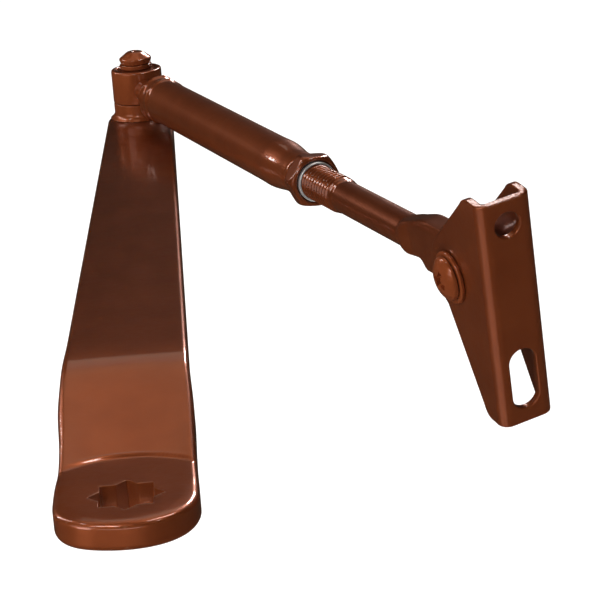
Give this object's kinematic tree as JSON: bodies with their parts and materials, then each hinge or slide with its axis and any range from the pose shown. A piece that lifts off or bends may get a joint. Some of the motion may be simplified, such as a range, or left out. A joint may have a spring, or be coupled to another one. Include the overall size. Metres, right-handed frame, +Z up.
{
  "type": "door closer arm",
  "caption": "Jointed lever arm of a surface door closer: cranked main arm with star spindle hole, elbow pivot, threaded adjustable forearm and channel shoe.",
  "frame": {"origin": "on the closer's spindle axis, at the underside of the main arm's pad", "axes": "+X along the main arm from the spindle to the elbow, +Z up along the spindle and elbow axes, +Y to the left seen from the pad"},
  "size_m": [0.2941, 0.106, 0.0563],
  "materials": {
    "bronze_paint": "semi-gloss reddish dark bronze paint with fine orange peel",
    "bare_steel": "bare zinc-plated steel",
    "bush_bronze": "sintered bronze, dull",
    "nylon": "natural nylon"
  },
  "bodies": {
    "main_lever": {"main_arm": "bronze_paint", "elbow_stud": "bronze_paint", "elbow_washer": "bronze_paint"},
    "forearm": {"elbow_knuckle": "bronze_paint", "elbow_bush": "bush_bronze", "forearm_tube": "bronze_paint", "hex_bush": "bronze_paint", "lock_ring": "bare_steel"},
    "rod_carrier": {"rod_stop_ring": "nylon"},
    "rod": {"adjusting_rod": "bronze_paint"},
    "shoe_assembly": {"shoe": "bronze_paint", "pivot_bush": "bush_bronze", "pivot_washer_near": "nylon", "pivot_washer_far": "nylon", "head_washer": "bronze_paint", "pivot_screw": "bronze_paint", "pivot_nut": "bare_steel"}
  },
  "joints": [
    {"name": "elbow_swing", "type": "hinge", "parent": "main_lever", "child": "forearm", "pos_m": [0.272, 0, 0.02707], "axis": [0, 0, 1], "range_deg": [-5, 324]},
    {"name": "rod_advance", "type": "slide", "parent": "forearm", "child": "rod_carrier", "axis": [-0.9373, -0.3486, 0], "range_m": [-0.0139, 0.0243]},
    {"name": "rod_turn", "type": "hinge", "parent": "rod_carrier", "child": "rod", "pos_m": [0.06261, -0.07787, 0.02707], "axis": [-0.9373, -0.3486, 0], "range_deg": [-3150, 5500]},
    {"name": "shoe_tilt", "type": "hinge", "parent": "rod", "child": "shoe_assembly", "pos_m": [0.06261, -0.07787, 0.02707], "axis": [0.3446, -0.9265, 0.1513], "range_deg": [-104, 85]}
  ],
  "couplings": [
    {"joint": "rod_advance", "follows": "rod_turn", "m_per_rad": 0.00025266}
  ]
}
